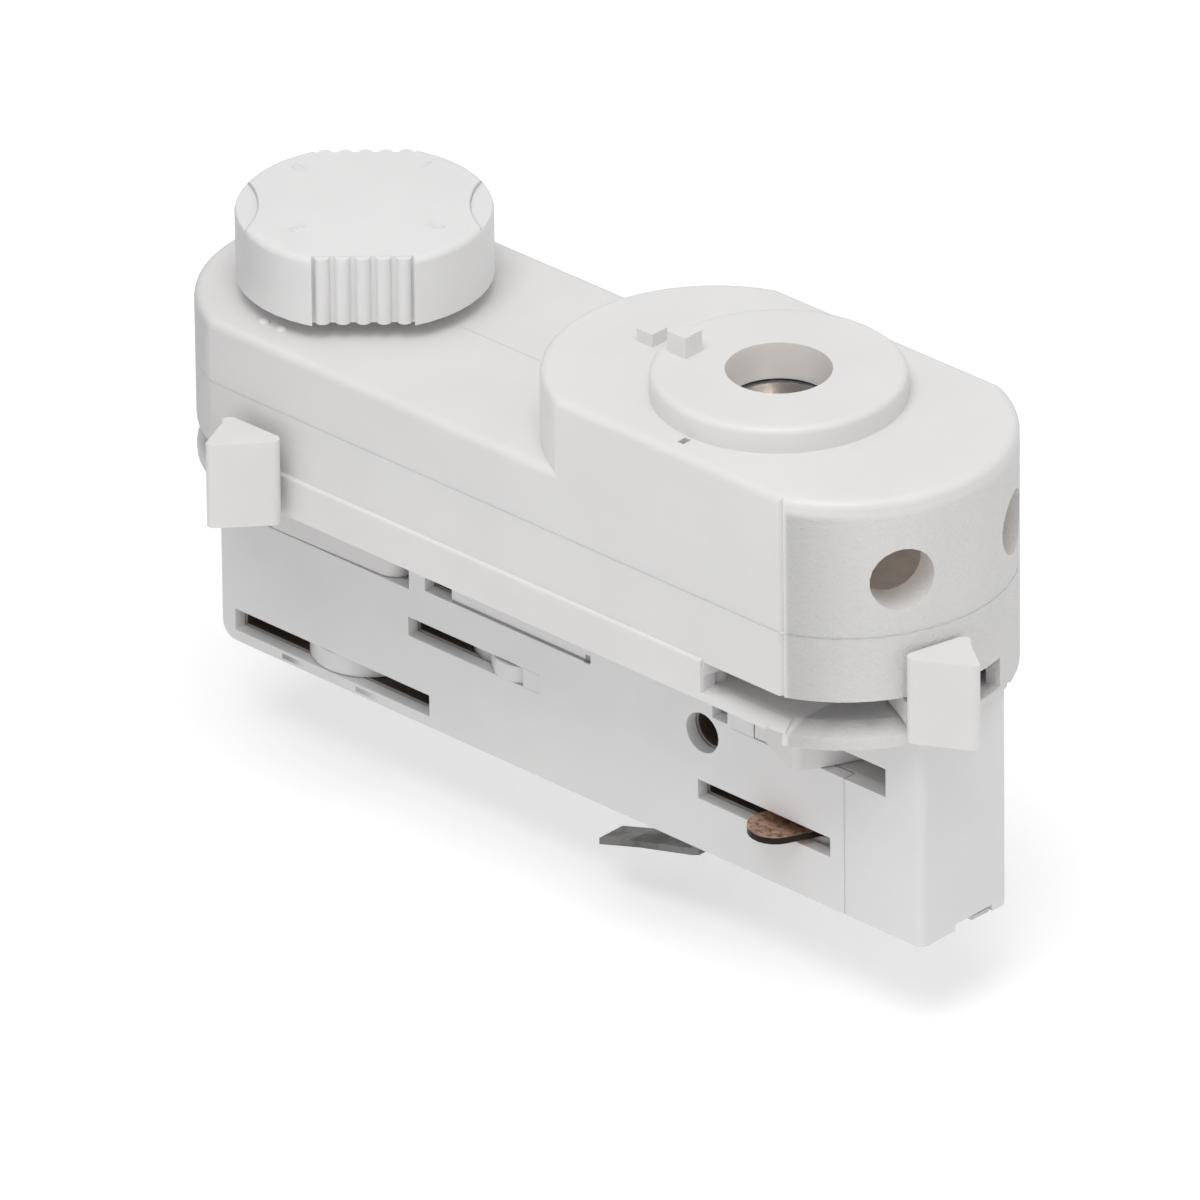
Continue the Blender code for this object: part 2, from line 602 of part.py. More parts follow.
def insert_body():
    """Insert that goes into the track, with a bore for each rotor and a room for the conductors."""
    outline = rounded_rectangle(INSERT_LEFT, INSERT_RIGHT, -INSERT_HALF_WIDTH, INSERT_HALF_WIDTH,
                                INSERT_CORNER)
    body = prism("insert_body", outline, 0.0, INSERT_TOP)
    front = PANEL_BACK + FACE_GAP
    through = INSERT_HALF_WIDTH + MM
    cut(body, box("panel_seat", INSERT_LEFT - MM, PANEL_END, -through, front, -MM, INSERT_TOP + MM))
    for cutter in through_slots("body_slot", PHASE_ROOM_3, -through, through):
        cut(body, cutter)
    cut(body, slot_cutter("neutral_room", LEVER_X, NEUTRAL_SLOT, -through, INSERT_HALF_WIDTH - REAR_WALL))
    for name, x, low in (("selector", SELECTOR_X, INSERT_FLOOR), ("phase", ROTOR_X, PHASE_ROTOR_LOW - FACE_GAP),
                         ("lever", LEVER_X, INSERT_FLOOR)):
        cut(body, cylinder(f"{name}_bore", ROTOR_RADIUS + RUN_GAP, low, INSERT_TOP + MM, x,
                           steps=ARC_STEPS))
    cut(body, box("conductor_room", ROOM_LEFT, ROOM_RIGHT, -through, INSERT_HALF_WIDTH - WALL, ROOM_LOW,
                  INSERT_TOP - ROOM_ROOF))
    for index in range(STRIP_COUNT):
        cut(body, box(f"body_slit_{index}", *strip_rise(index, FACE_GAP), INSERT_TOP - 2 * ROOM_ROOF,
                      INSERT_TOP + MM))
    cut(body, box("bottom_channel", INSERT_RIGHT - CHANNEL_LENGTH, INSERT_RIGHT + MM, CHANNEL_FRONT,
                  CHANNEL_BACK, -MM, CHANNEL_DEPTH))
    cut(body, screw_hole("body_screw_hole", -through, front + SCREW_HOLE_DEPTH))
    cut(body, box("spring_slit", SPRING_ROOT_X - SPRING_THICKNESS / 2 - FACE_GAP,
                  SPRING_ROOT_X + SPRING_THICKNESS / 2 + FACE_GAP, -through,
                  SPRING_LEG_BACK + FACE_GAP, -MM, SPRING_LEG_TOP + FACE_GAP))
    cut(body, box("spring_room", SPRING_TIP_X - MM, SPRING_ROOT_X + 2 * MM, -through,
                  SPRING_BACK + FACE_GAP, -MM, SPRING_ROOM))
    return finish(body, white_plastic("insert_plastic"))


def insert_panel():
    """Side panel of the insert, which closes the rotor bores on the front."""
    outline = [(PANEL_END - SEAM_GAP, INSERT_TOP), (INSERT_LEFT, INSERT_TOP)]
    outline += [(x, z) for x, z in arc((INSERT_LEFT + PANEL_CORNER, PANEL_CORNER), PANEL_CORNER,
                                       math.pi, math.pi * 1.5, 6)]
    outline.append((PANEL_END - SEAM_GAP, 0.0))
    front = -INSERT_HALF_WIDTH
    panel = loft("insert_panel", [[(x, front, z) for x, z in outline],
                                  [(x, PANEL_BACK, z) for x, z in outline]])
    low, high = front - MM, PANEL_BACK + MM
    for cutter in through_slots("panel_slot", PHASE_SLOT_3, low, high):
        cut(panel, cutter)
    cut(panel, slot_cutter("cam_notch", LEVER_X, CAM_NOTCH, low, high))
    cut(panel, slot_cutter("panel_groove", ROTOR_X, PANEL_GROOVE, low, front + GROOVE_SINK))
    cut(panel, slot_cutter("neutral_opening", LEVER_X, NEUTRAL_SLOT, low, high))
    cut(panel, screw_hole("panel_screw_hole", low, high))
    return finish(panel, white_plastic("panel_plastic"))


def involute_gear(name, frame, turn):
    """Spur gear of the pair, with involute flanks thinned for backlash."""
    pitch_radius = ROTOR_PITCH / 2
    module = 2 * pitch_radius / GEAR_TEETH
    base = pitch_radius * math.cos(PRESSURE_ANGLE)
    tip = pitch_radius + ADDENDUM * module
    root = pitch_radius - DEDENDUM * module
    half_pitch = math.pi / (2 * GEAR_TEETH) - GEAR_BACKLASH / (2 * pitch_radius)
    involute = math.tan(PRESSURE_ANGLE) - PRESSURE_ANGLE

    def flank(radius):
        pressure = math.acos(min(1.0, base / radius))
        return half_pitch + involute - (math.tan(pressure) - pressure)

    radii = [base + (tip - base) * i / 3 for i in range(4)]
    outline = []
    for tooth in range(GEAR_TEETH):
        middle = turn + math.tau * tooth / GEAR_TEETH
        left = [(radius, middle - flank(radius)) for radius in radii]
        right = [(radius, middle + flank(radius)) for radius in reversed(radii)]
        outline.append((root, middle - flank(base)))
        outline += left + right
        outline.append((root, middle + flank(base)))
    points = [(radius * math.cos(angle), radius * math.sin(angle)) for radius, angle in outline]
    gear = ride(prism(name, points, GEAR_Z, GEAR_Z + GEAR_THICKNESS), frame)
    bore = cylinder(f"{name}_bore", SHAFT_RADIUS + FACE_GAP, GEAR_Z - MM, GEAR_Z + GEAR_THICKNESS + MM)
    cut(gear, ride(bore, frame))
    return finish(gear, white_plastic(f"{name}_plastic"))


def tongue(name, reach, half_width, z0, z1, grow=0.0, start=CONTACT_START):
    """Flat contact with a round nose, pointing along +X from its rotor's axis."""
    nose = half_width + grow
    outline = [(start - grow, -nose)] + arc((reach - half_width, 0.0), nose, -math.pi / 2, math.pi / 2, 12)
    outline.append((start - grow, nose))
    return prism(name, outline, z0 - grow, z1 + grow)


def contact(name, frame, level_z, reach, half_width, angle):
    made = tongue(name, reach, half_width, level_z, level_z + CONTACT_THICKNESS)
    made.rotation_euler = (0.0, 0.0, angle)
    return finish(ride(made, frame), copper(f"{name}_copper"))


def contact_pocket(rotor, frame, level_z, half_width, angle):
    """Room in a rotor for the contact that it carries."""
    pocket = tongue(f"{rotor.name}_pocket_{level_z:.4f}", 2 * ROTOR_RADIUS, half_width, level_z,
                    level_z + CONTACT_THICKNESS, FACE_GAP)
    pocket.rotation_euler = (0.0, 0.0, angle)
    cut(rotor, ride(pocket, frame))


def lobe(rotor, frame, level_z):
    """Insulating lobe of a rotor, which fills its slot while the circuit is off."""
    low = level_z - LOBE_MARGIN
    made = tongue(f"{rotor.name}_lobe", LOBE_REACH, LOBE_HALF_WIDTH, low,
                  low + CONTACT_THICKNESS + 2 * LOBE_MARGIN, start=0.0)
    made.rotation_euler = (0.0, 0.0, LOBE_ANGLE)
    join(rotor, ride(made, frame))


def drum(rotor, frame, slot):
    """Wider part of a rotor, flush with the insert's side where it shows in a slot."""
    join(rotor, ride(cylinder(f"{rotor.name}_drum", DRUM_RADIUS, slot[2] + CAM_SIDE_GAP,
                              slot[3] - CAM_SIDE_GAP), frame))


def phase_contact(rotor, frame, index):
    contact_pocket(rotor, frame, PHASE_LEVELS[index], PHASE_HALF_WIDTH, PHASE_ANGLES[index])
    contact(f"phase_contact_{index + 1}", frame, PHASE_LEVELS[index], PHASE_REACH, PHASE_HALF_WIDTH,
            PHASE_ANGLES[index])


def selector(frame):
    """Knob, shaft, gear and first phase contact, which turn together."""
    neck = LEFT_CAM_SLOT[2] - FACE_GAP
    shaft = lathe("selector_shaft", [(ROTOR_RADIUS, ROTOR_LOW), (ROTOR_RADIUS, neck),
                                     (SHAFT_RADIUS, neck), (SHAFT_RADIUS, KNOB_BOTTOM + KNOB_SOCKET)],
                  ARC_STEPS)
    ride(shaft, frame)
    drum(shaft, frame, PHASE_SLOT_1)
    phase_contact(shaft, frame, 0)
    finish(shaft, white_plastic("shaft_plastic"))
    involute_gear("selector_gear", frame, 0.0)
    knob(frame)


def knob(frame):
    """Selector knob with two groups of grip ribs and a lowered lobe on either side of its top."""
    made = filleted("phase_knob", lambda inset: circle(KNOB_RADIUS - inset), KNOB_BOTTOM, KNOB_TOP,
                    KNOB_FILLET)
    ride(made, frame)
    join(made, ride(cylinder("knob_collar", COLLAR_RADIUS, DECK_Z + FACE_GAP, KNOB_BOTTOM + MM), frame))
    for side in (0, 1):
        turn = RIB_ANGLE + side * math.pi
        rib_radius = (RIB_PITCH - RIB_GAP) / 2
        half = RIB_COUNT * RIB_PITCH / 2
        root = math.sqrt(KNOB_RADIUS ** 2 - half ** 2) - rib_radius
        flat = rectangle(root, KNOB_RADIUS + MM, -half, half)
        cut(made, ride(prism(f"rib_flat_{side}", turned(flat, turn), KNOB_BOTTOM - MM, KNOB_TOP + MM), frame))
        for index in range(RIB_COUNT):
            x, y = turned([(root, (index - (RIB_COUNT - 1) / 2) * RIB_PITCH)], turn)[0]
            rib = cylinder(f"rib_{side}_{index}", rib_radius, KNOB_BOTTOM + RIB_END, KNOB_TOP - RIB_END, x, y,
                           RIB_STEPS)
            join(made, ride(rib, frame))
        step = prism(f"dial_step_{side}", circle(DIAL_BOW_RADIUS), KNOB_TOP - DIAL_STEP, KNOB_TOP + MM)
        reach = DIAL_BOW_RADIUS + DIAL_BOW_REACH
        place(step, reach * math.cos(turn + math.pi / 2), reach * math.sin(turn + math.pi / 2))
        cut(made, ride(step, frame))
    socket = cylinder("knob_socket", SHAFT_RADIUS + FACE_GAP, DECK_Z - MM,
                      KNOB_BOTTOM + KNOB_SOCKET + FACE_GAP)
    cut(made, ride(socket, frame))
    return finish(made, white_plastic("knob_plastic"))


def second_rotor(frame):
    """Rotor geared to the selector, with the second and third phase contacts."""
    rotor = lathe("phase_rotor", [(ROTOR_RADIUS, PHASE_ROTOR_LOW), (ROTOR_RADIUS, PLATE_HIGH),
                                  (SHAFT_RADIUS, PLATE_HIGH),
                                  (SHAFT_RADIUS, GEAR_Z + GEAR_THICKNESS + MM)], ARC_STEPS)
    ride(rotor, frame)
    lobe(rotor, frame, PHASE_LEVELS[1])
    for index in (1, 2):
        phase_contact(rotor, frame, index)
    finish(rotor, white_plastic("rotor_plastic"))
    involute_gear("rotor_gear", frame, math.pi / GEAR_TEETH)


def handle_outline(lean):
    """Triangular handle with a rounded tip and corners, pointing along +X, wider on the side it leans to."""
    tip = (HANDLE_TIP - HANDLE_ROUND, 0.0)
    half = HANDLE_HALF_WIDTH - HANDLE_ROUND
    upper = (HANDLE_INNER + HANDLE_ROUND, lean + half)
    lower = (upper[0], lean - half)
    rise = math.atan2(tip[0] - upper[0], upper[1])
    drop = math.atan2(tip[0] - lower[0], -lower[1])
    points = arc(tip, HANDLE_ROUND, drop - math.pi / 2, math.pi / 2 - rise, 8)
    points += arc(upper, HANDLE_ROUND, math.pi / 2 - rise, math.pi, 6)
    points += arc(lower, HANDLE_ROUND, -math.pi, drop - math.pi / 2, 6)
    return points


def lever(name, frame, angle, arm_angle, lean, low, bore):
    """Locking lever: hub in the insert, plate through the housing's window, handle outside."""
    profile = [(HUB_RADIUS, low), (HUB_RADIUS, PLATE_LOW), (DISC_RADIUS, PLATE_LOW), (DISC_RADIUS, PLATE_HIGH)]
    if not bore:
        profile += [(SHAFT_RADIUS, PLATE_HIGH), (SHAFT_RADIUS, BEARING_Z + BEARING_THICKNESS + MM)]
    made = ride(lathe(name, profile), frame)
    arm = [(HUB_RADIUS / 2, HUB_RADIUS / 7), (HUB_RADIUS / 2, -HUB_RADIUS / 7)]
    arm += arc((0.0, 0.0), PLATE_RADIUS, -arm_angle, arm_angle, 10)
    join(made, ride(prism(f"{name}_arm", turned(arm, angle), PLATE_LOW, PLATE_HIGH - FACE_GAP), frame))
    neck_half = NECK_SHARE * PLATE_RADIUS * math.sin(arm_angle)
    neck = rectangle(PLATE_RADIUS - MM, HANDLE_INNER + MM, -neck_half, neck_half)
    join(made, ride(prism(f"{name}_neck", turned(neck, angle), PLATE_LOW + FACE_GAP / 2,
                          PLATE_HIGH - 2 * FACE_GAP), frame))
    grip = prism(f"{name}_grip", turned(handle_outline(lean), angle), FLANGE_BOTTOM,
                 FLANGE_BOTTOM + HANDLE_HEIGHT)
    join(made, ride(grip, frame))
    if bore:
        hole = cylinder(f"{name}_bore", bore, low - MM, PLATE_HIGH + MM, steps=ARC_STEPS)
        cut(made, ride(hole, frame))
    return finish(made, white_plastic(f"{name}_plastic"))


def long_cam_outline():
    """Long way along X, with flat sides that lie flush with the insert."""
    return rounded_rectangle(-CAM_REACH, CAM_REACH, -CAM_FLAT, CAM_FLAT, CAM_CORNER)


def nosed_cam_outline():
    """Two opposite noses, each steep on one side and with a long slope on the other."""
    nose = (NOSE_REACH * math.cos(NOSE_ANGLE), NOSE_REACH * math.sin(NOSE_ANGLE))
    half = [NOSE_TAIL] + arc(nose, NOSE_RADIUS, math.radians(-110.0), math.radians(-5.0), 8) + [NOSE_SHOULDER]
    return half + [(-x, -y) for x, y in half]


def locking_cam(name, frame, outline, slot, bore):
    """Cam that turns out under the track's lips."""
    low, high = slot[2] + CAM_SIDE_GAP, slot[3] - CAM_SIDE_GAP
    made = prism(name, outline, low, high)
    ride(made, frame)
    if bore:
        cut(made, ride(cylinder(f"{name}_bore", bore, low - MM, high + MM, steps=ARC_STEPS), frame))
    return finish(made, white_plastic(f"{name}_plastic"))


def right_rotor(frame):
    """Rotor under the right lever, with the neutral contact."""
    rotor = lathe("contact_rotor", [(ROTOR_RADIUS, ROTOR_LOW), (ROTOR_RADIUS, RIGHT_CAM_SLOT[2])],
                  ARC_STEPS)
    ride(rotor, frame)
    contact_pocket(rotor, frame, NEUTRAL_LEVEL, NEUTRAL_HALF_WIDTH, NEUTRAL_ANGLE)
    finish(rotor, white_plastic("contact_rotor_plastic"))
    contact("neutral_contact", frame, NEUTRAL_LEVEL, NEUTRAL_REACH, NEUTRAL_HALF_WIDTH, NEUTRAL_ANGLE)


def nipple_nut():
    """Square nut in the pocket under the nipple seat."""
    top = BLOCK_Z - ROOF
    nut = box("nipple_nut", -NUT_HALF_SIZE, NUT_HALF_SIZE, -NUT_HALF_SIZE, NUT_HALF_SIZE,
              top - NUT_THICKNESS, top)
    cut(nut, cylinder("nut_thread", NIPPLE_BORE - NUT_BITE, top - NUT_THICKNESS - MM, top + MM, NIPPLE_X))
    return finish(place(nut, NIPPLE_X), steel("nut_steel"))


def terminals():
    """Terminal block with its clamps and screws, seated on the housing floor."""
    low = FLOOR_Z + FACE_GAP
    high = low + TERMINAL_HEIGHT
    places = [TERMINAL_START + index * CLAMP_PITCH for index in range(CLAMP_COUNT)]
    block = box("terminal_block", places[0] - TERMINAL_MARGIN, places[-1] + TERMINAL_MARGIN, -TERMINAL_HALF,
                TERMINAL_HALF, low, high)
    for index in range(STRIP_COUNT):
        cut(block, box(f"block_slit_{index}", *strip_rise(index, FACE_GAP), low - MM,
                       low + TERMINAL_HEIGHT / 2))
    room = CLAMP_SIZE / 2 + FACE_GAP
    clamp_low = low + CLAMP_FLOOR + FACE_GAP
    for index, x in enumerate(places):
        cut(block, box(f"clamp_room_{index}", x - room, x + room, CLAMP_Y - room, CLAMP_Y + room,
                       low + CLAMP_FLOOR, high + MM))
    finish(block, white_plastic("terminal_plastic"))
    half = CLAMP_SIZE / 2
    for index, x in enumerate(places):
        clamp = box(f"terminal_clamp_{index + 1}", x - half, x + half, CLAMP_Y - half, CLAMP_Y + half,
                    clamp_low, clamp_low + CLAMP_HEIGHT)
        bore_low = clamp_low + CLAMP_HEIGHT / 3
        cut(clamp, cylinder(f"clamp_thread_{index}", CLAMP_SCREW_RADIUS + FACE_GAP, bore_low,
                            clamp_low + CLAMP_HEIGHT + MM, x, CLAMP_Y, ARC_STEPS))
        finish(clamp, brass(f"clamp_brass_{index}"))
        screw = prism(f"terminal_screw_{index + 1}", circle(CLAMP_SCREW_RADIUS, ARC_STEPS),
                      bore_low + FACE_GAP, clamp_low + CLAMP_HEIGHT + FACE_GAP)
        finish(place(screw, x, CLAMP_Y), steel(f"screw_steel_{index}"))


def conductor(index, level_z):
    """Strip from a contact's level along the conductor room, then up into the terminal block."""
    x0, x1, y0, y1 = strip_rise(index)
    low = max(level_z, ROOM_LOW + FACE_GAP)
    top = FLOOR_Z + FACE_GAP + TERMINAL_HEIGHT / 2 - FACE_GAP
    rise = box(f"conductor_{index + 1}", x0, x1, y0, y1, low, top)
    if index < STRIP_COUNT - 1:
        run = (ROOM_LEFT + FACE_GAP / 2, x1 - MM / 2)
    else:
        run = (x0 + MM / 2, ROOM_RIGHT - FACE_GAP)
    skim = STRIP_THICKNESS / 8
    join(rise, box(f"conductor_run_{index}", *run, y0 + skim, y1 - skim, low + skim, low + STRIP_WIDTH))
    return finish(rise, copper(f"conductor_copper_{index}"))


def earth_spring():
    """Leaf spring under the insert: a leg held in the insert, a bend, a kink and a free tip."""
    half = SPRING_THICKNESS / 2
    upper = [(SPRING_TIP_X, SPRING_TIP_Z), (SPRING_KINK_X, SPRING_KINK_Z), (SPRING_BEND_X, SPRING_BEND_Z),
             (SPRING_ROOT_X - half, -FACE_GAP)]
    lower = [(SPRING_ROOT_X + half, -FACE_GAP), (SPRING_ROOT_X + half, SPRING_BEND_Z - half),
             (SPRING_BEND_X + half, SPRING_BEND_Z - SPRING_THICKNESS),
             (SPRING_KINK_X, SPRING_KINK_Z - SPRING_THICKNESS),
             (SPRING_TIP_X, SPRING_TIP_Z - SPRING_THICKNESS)]
    outline = upper + lower
    spring = loft("earth_spring", [[(x, SPRING_FRONT, z) for x, z in outline],
                                   [(x, SPRING_BACK, z) for x, z in outline]])
    join(spring, box("spring_leg", SPRING_ROOT_X - half, SPRING_ROOT_X + half, SPRING_LEG_FRONT,
                     SPRING_LEG_BACK, -FACE_GAP - half, SPRING_LEG_TOP))
    return finish(spring, steel("spring_steel"))


def earth_strip():
    """Strip in the bottom channel that joins the earth parts."""
    strip = box("earth_strip", INSERT_RIGHT - CHANNEL_LENGTH + FACE_GAP, INSERT_RIGHT - FACE_GAP,
                (CHANNEL_FRONT + CHANNEL_BACK) / 2, CHANNEL_BACK - FACE_GAP, 0.0, CHANNEL_DEPTH - FACE_GAP)
    return finish(strip, steel("strip_steel"))


def clear_scene():
    for made in list(bpy.data.objects):
        bpy.data.objects.remove(made, do_unlink=True)


def build():
    clear_scene()
    top_cover()
    base_housing()
    bearing_plate("selector_bearing_plate", SELECTOR_X, -1, LEFT_PLATE_END, (SELECTOR_X, ROTOR_X))
    bearing_plate("lever_bearing_plate", LEVER_X, 1, RIGHT_PLATE_END, (LEVER_X,))
    insert_body()
    insert_panel()
    nipple_nut()
    terminals()
    for index, level_z in enumerate((*PHASE_LEVELS, NEUTRAL_LEVEL)):
        conductor(index, level_z)
    earth_spring()
    earth_strip()
    selector(empty("selector_axis", SELECTOR_X))
    second_rotor(empty("rotor_axis", ROTOR_X))
    left = empty("left_lever_axis", SELECTOR_X)
    inner = SHAFT_RADIUS + RUN_GAP
    lever("left_lever", left, LEFT_REST, LEFT_ARM_ANGLE, HANDLE_LEAN, LEFT_CAM_SLOT[3], inner)
    left_cam = turned(long_cam_outline(), LEFT_REST + math.pi / 2)
    locking_cam("left_locking_cam", left, left_cam, LEFT_CAM_SLOT, inner)
    right = empty("right_lever_axis", LEVER_X)
    lever("right_lever", right, RIGHT_REST, RIGHT_ARM_ANGLE, -HANDLE_LEAN, RIGHT_CAM_SLOT[3], 0.0)
    locking_cam("right_locking_cam", right, nosed_cam_outline(), RIGHT_CAM_SLOT, 0.0)
    right_rotor(right)


build()
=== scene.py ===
import json
import math

import bmesh
import bpy
from mathutils import Matrix, Vector


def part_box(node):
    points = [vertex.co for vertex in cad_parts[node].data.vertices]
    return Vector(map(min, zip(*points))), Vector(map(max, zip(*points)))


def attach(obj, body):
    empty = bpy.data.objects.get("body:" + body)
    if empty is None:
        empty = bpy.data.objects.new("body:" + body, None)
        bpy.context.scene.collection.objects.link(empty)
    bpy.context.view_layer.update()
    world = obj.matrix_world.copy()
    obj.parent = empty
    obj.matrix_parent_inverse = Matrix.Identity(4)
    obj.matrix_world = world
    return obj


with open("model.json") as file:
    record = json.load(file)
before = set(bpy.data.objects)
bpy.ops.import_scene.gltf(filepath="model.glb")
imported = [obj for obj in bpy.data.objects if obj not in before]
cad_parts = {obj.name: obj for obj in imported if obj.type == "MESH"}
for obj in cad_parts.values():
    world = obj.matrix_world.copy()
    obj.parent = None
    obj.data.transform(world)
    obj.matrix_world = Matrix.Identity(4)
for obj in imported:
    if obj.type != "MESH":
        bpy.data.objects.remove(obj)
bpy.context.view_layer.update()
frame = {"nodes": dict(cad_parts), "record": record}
nodes = frame["nodes"]

MM = 0.001


# Places of the object, read from the frame
knob_low, knob_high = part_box("phase_knob")
cover_low, cover_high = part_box("top_cover")
base_low, base_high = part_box("base_housing")
nut_low, nut_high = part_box("nipple_nut")
insert_low, insert_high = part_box("insert_body")
panel_low, panel_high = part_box("insert_panel")
END_RADIUS = 19.3 * MM
HALF_WIDTH = 18.0 * MM
SELECTOR_X = (knob_low.x + knob_high.x) / 2
ROTOR_X = SELECTOR_X + 23.0 * MM
NIPPLE_X = (nut_low.x + nut_high.x) / 2
LEVER_X = cover_high.x - END_RADIUS
GROOVE_X = LEVER_X + 6.96 * MM
INSERT_X = (insert_low.x + insert_high.x) / 2
INSERT_REACH = (insert_high.x - insert_low.x) / 2
DECK_Z = cover_low.z + 7.6 * MM

# Colours
WHITE = (0.800, 0.790, 0.785)
INSERT_WHITE = (0.828, 0.820, 0.818)
BRIGHT = (0.820, 0.815, 0.812)
# Painted shade for the closed rooms behind the slots
PAINTED_ROOM_SHADE = (0.085, 0.062, 0.048)

FADE = 0.1 * MM

# Plastic: scale of each pattern, its depth or strength, and the tone as a share of the colour
CLOUD_SCALE, CLOUD_TONE = 60.0, 0.965
SHEEN_SCALE, SHEEN_SPREAD = 420.0, 0.10
GRAIN_SCALE, GRAIN_DEPTH = 900.0, 0.02 * MM
# Spark-eroded end: texture scale and depth, roughness, and painted shade given as a share of the colour
SPARK_SCALE, SPARK_DEPTH, SPARK_SHEEN, SPARK_SHADE_TONE = 2300.0, 0.23 * MM, 0.12, 0.74
SPARK_TOP = 55.0 * MM
SPARK_SHADE_END_X = LEVER_X + 16.0 * MM
SEAM_WIDTH, SEAM_DEPTH, SEAM_SHARE, SEAM_TONE = 0.16 * MM, 0.05 * MM, 0.18, 0.7
SEAM_END_X = NIPPLE_X - 29.9 * MM
ROOM_DEPTH, ROOM_WALL = 5.4 * MM, 1.0 * MM
CAM_ROOM_X = LEVER_X - 14.5 * MM
CAM_ROOM_Z = 17.0 * MM
CAM_ROOM_LIGHT = 0.72
# Bow lines on the knob: painted shade for its bowed steps
BOW_RADIUS, BOW_REACH, BOW_ANGLE = 13.6 * MM, 25.5 * MM, math.radians(43.0)
BOW_WIDTH, BOW_DEPTH, BOW_SHARE, BOW_SHADE_TONE = 0.30 * MM, 0.45 * MM, 0.5, 0.5
MARK_TONE = 0.25
# Start, end, length of the fading end, level, height and strength of each dark mark
PANEL_MARKS = ((SELECTOR_X - 7.3 * MM, SELECTOR_X - 3.7 * MM, 2.6 * MM, 0.7 * MM, 0.8 * MM, 0.75),
               (SELECTOR_X + 4.2 * MM, SELECTOR_X + 8.1 * MM, 2.9 * MM, 0.7 * MM, 0.8 * MM, 0.5),
               (ROTOR_X - 3.6 * MM, ROTOR_X + 17.9 * MM, FADE, 17.56 * MM, 0.36 * MM, 0.6),
               (ROTOR_X + 16.9 * MM, ROTOR_X + 17.9 * MM, FADE, 17.8 * MM, 1.1 * MM, 0.85))


def rgb(red, green, blue):
    return (red, green, blue, 1.0)


def shade(colour, share):
    return rgb(*(c * share for c in colour))


# Materials
class Graph:
    """A node material in the making: its own colour and roughness, and what the nodes make of them."""

    def __init__(self, name, colour, roughness):
        self.colour = colour
        self.roughness = roughness
        self.base = self.rough = self.normal = None
        self.material = bpy.data.materials.new(name)
        self.material.use_nodes = True
        self.tree = self.material.node_tree
        self.shader = self.tree.nodes["Principled BSDF"]
        self.place = self.node("ShaderNodeTexCoord").outputs["Object"]
        split = self.node("ShaderNodeSeparateXYZ")
        self.link(self.place, split.inputs[0])
        self.x, self.y, self.z = split.outputs

    def node(self, kind, **values):
        made = self.tree.nodes.new(kind)
        for key, value in values.items():
            setattr(made, key, value)
        return made

    def link(self, source, target):
        self.tree.links.new(source, target)

    def put(self, value, socket):
        if hasattr(value, "is_linked"):
            self.link(value, socket)
        else:
            socket.default_value = value

    def math(self, operation, *values):
        made = self.node("ShaderNodeMath", operation=operation)
        for value, socket in zip(values, made.inputs):
            self.put(value, socket)
        return made.outputs[0]

    def minus(self, a, b):
        return self.math("SUBTRACT", a, b)

    def times(self, a, b):
        return self.math("MULTIPLY", a, b)

    def invert(self, value):
        return self.minus(1.0, value)

    def apart(self, value, centre):
        return self.math("ABSOLUTE", self.minus(value, centre))

    def noise(self, scale, detail=3.0, roughness=0.5):
        made = self.node("ShaderNodeTexNoise")
        self.link(self.place, made.inputs["Vector"])
        made.inputs["Scale"].default_value = scale
        made.inputs["Detail"].default_value = detail
        made.inputs["Roughness"].default_value = roughness
        return made.outputs["Fac"]

    def ramp(self, value, low, high):
        """Zero below the low value, one above the high one, and smooth between."""
        made = self.node("ShaderNodeMapRange", interpolation_type="SMOOTHSTEP")
        self.put(value, made.inputs["Value"])
        made.inputs["From Min"].default_value = low
        made.inputs["From Max"].default_value = high
        return made.outputs["Result"]

    def line(self, value, centre, width):
        """One near a plane, falling to zero at half the width from it."""
        return self.invert(self.ramp(self.apart(value, centre), width * 0.3, width * 0.5))

    def mix(self, factor, a, b):
        made = self.node("ShaderNodeMix", data_type="RGBA")
        self.put(factor, made.inputs["Factor"])
        self.put(a, made.inputs["A"])
        self.put(b, made.inputs["B"])
        return made.outputs["Result"]

    def paint(self, mask, colour):
        self.base = self.mix(mask, self.base, colour)

    def bump(self, height, distance):
        """A relief on top of the reliefs so far."""
        made = self.node("ShaderNodeBump")
        self.put(height, made.inputs["Height"])
        made.inputs["Distance"].default_value = distance
        made.inputs["Strength"].default_value = 1.0
        if self.normal is not None:
            self.link(self.normal, made.inputs["Normal"])
        self.normal = made.outputs["Normal"]

    def done(self, values):
        """Links the three results, sets the shader's plain values and gives the material."""
        self.link(self.base, self.shader.inputs["Base Color"])
        self.link(self.rough, self.shader.inputs["Roughness"])
        self.link(self.normal, self.shader.inputs["Normal"])
        for socket, value in values.items():
            self.shader.inputs[socket].default_value = value
        return self.material


def spark_texture_and_shade(graph):
    """Spark-eroded texture on the round end, and painted shade, darkest by the groove, that fades round
    it.
    """
    inside = graph.ramp(graph.x, GROOVE_X + 0.3 * MM, GROOVE_X + 0.9 * MM)
    mask = graph.times(inside, graph.invert(graph.ramp(graph.z, SPARK_TOP, SPARK_TOP + 1.0 * MM)))
    graph.bump(graph.times(graph.noise(SPARK_SCALE, 4.0, 0.65), mask), SPARK_DEPTH)
    graph.rough = graph.math("MULTIPLY_ADD", mask, SPARK_SHEEN, graph.roughness)
    # Painted shade: darkest by the groove, gone by the end of the fade
    turn = graph.ramp(graph.x, GROOVE_X, SPARK_SHADE_END_X)
    graph.paint(graph.times(mask, graph.invert(turn)), shade(graph.colour, SPARK_SHADE_TONE))


